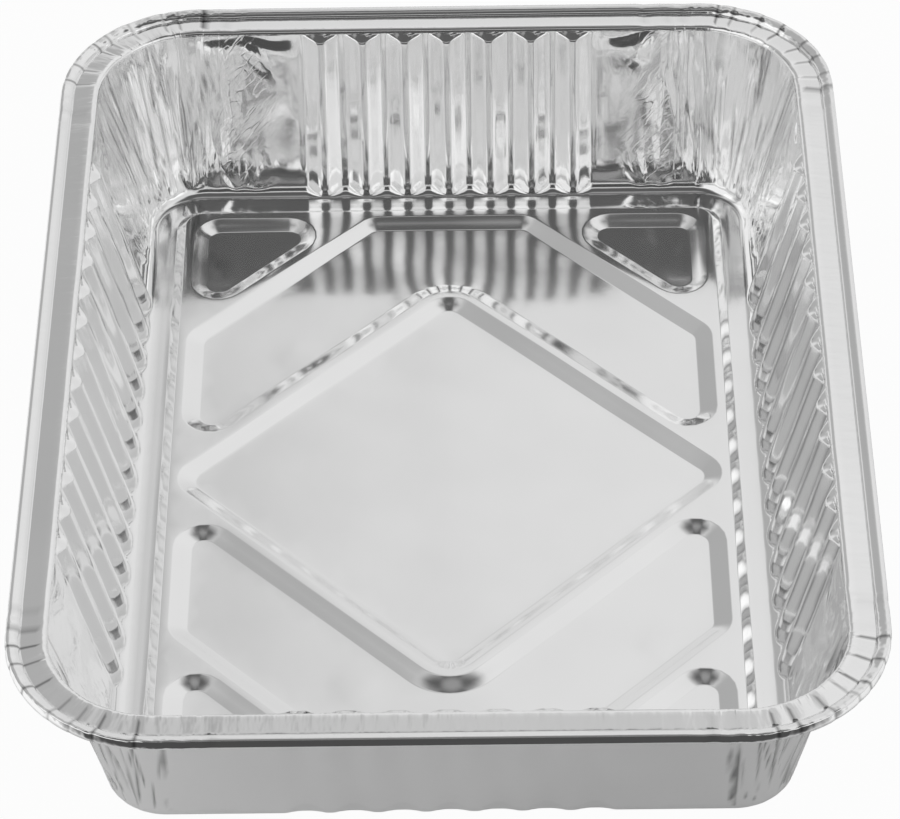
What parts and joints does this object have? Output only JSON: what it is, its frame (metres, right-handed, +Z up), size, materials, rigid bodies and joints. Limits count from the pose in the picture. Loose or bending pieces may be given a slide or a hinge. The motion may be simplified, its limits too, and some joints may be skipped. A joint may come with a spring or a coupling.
{
  "type": "foil roasting pan",
  "caption": "Shallow rectangular foil tray with fluted leaning walls, gathered corners, a flange ending in a rolled edge, and a floor pressed with diamond and corner panels.",
  "frame": {"origin": "centre of the footprint, on the surface that the pan stands on", "axes": "+Z up out of the pan's mouth, Y along its length, X across it"},
  "size_m": [0.265, 0.35, 0.0629],
  "materials": {
    "foil": "bright, lightly crinkled foil"
  },
  "bodies": {
    "root": {"pan": "foil"}
  },
  "joints": []
}
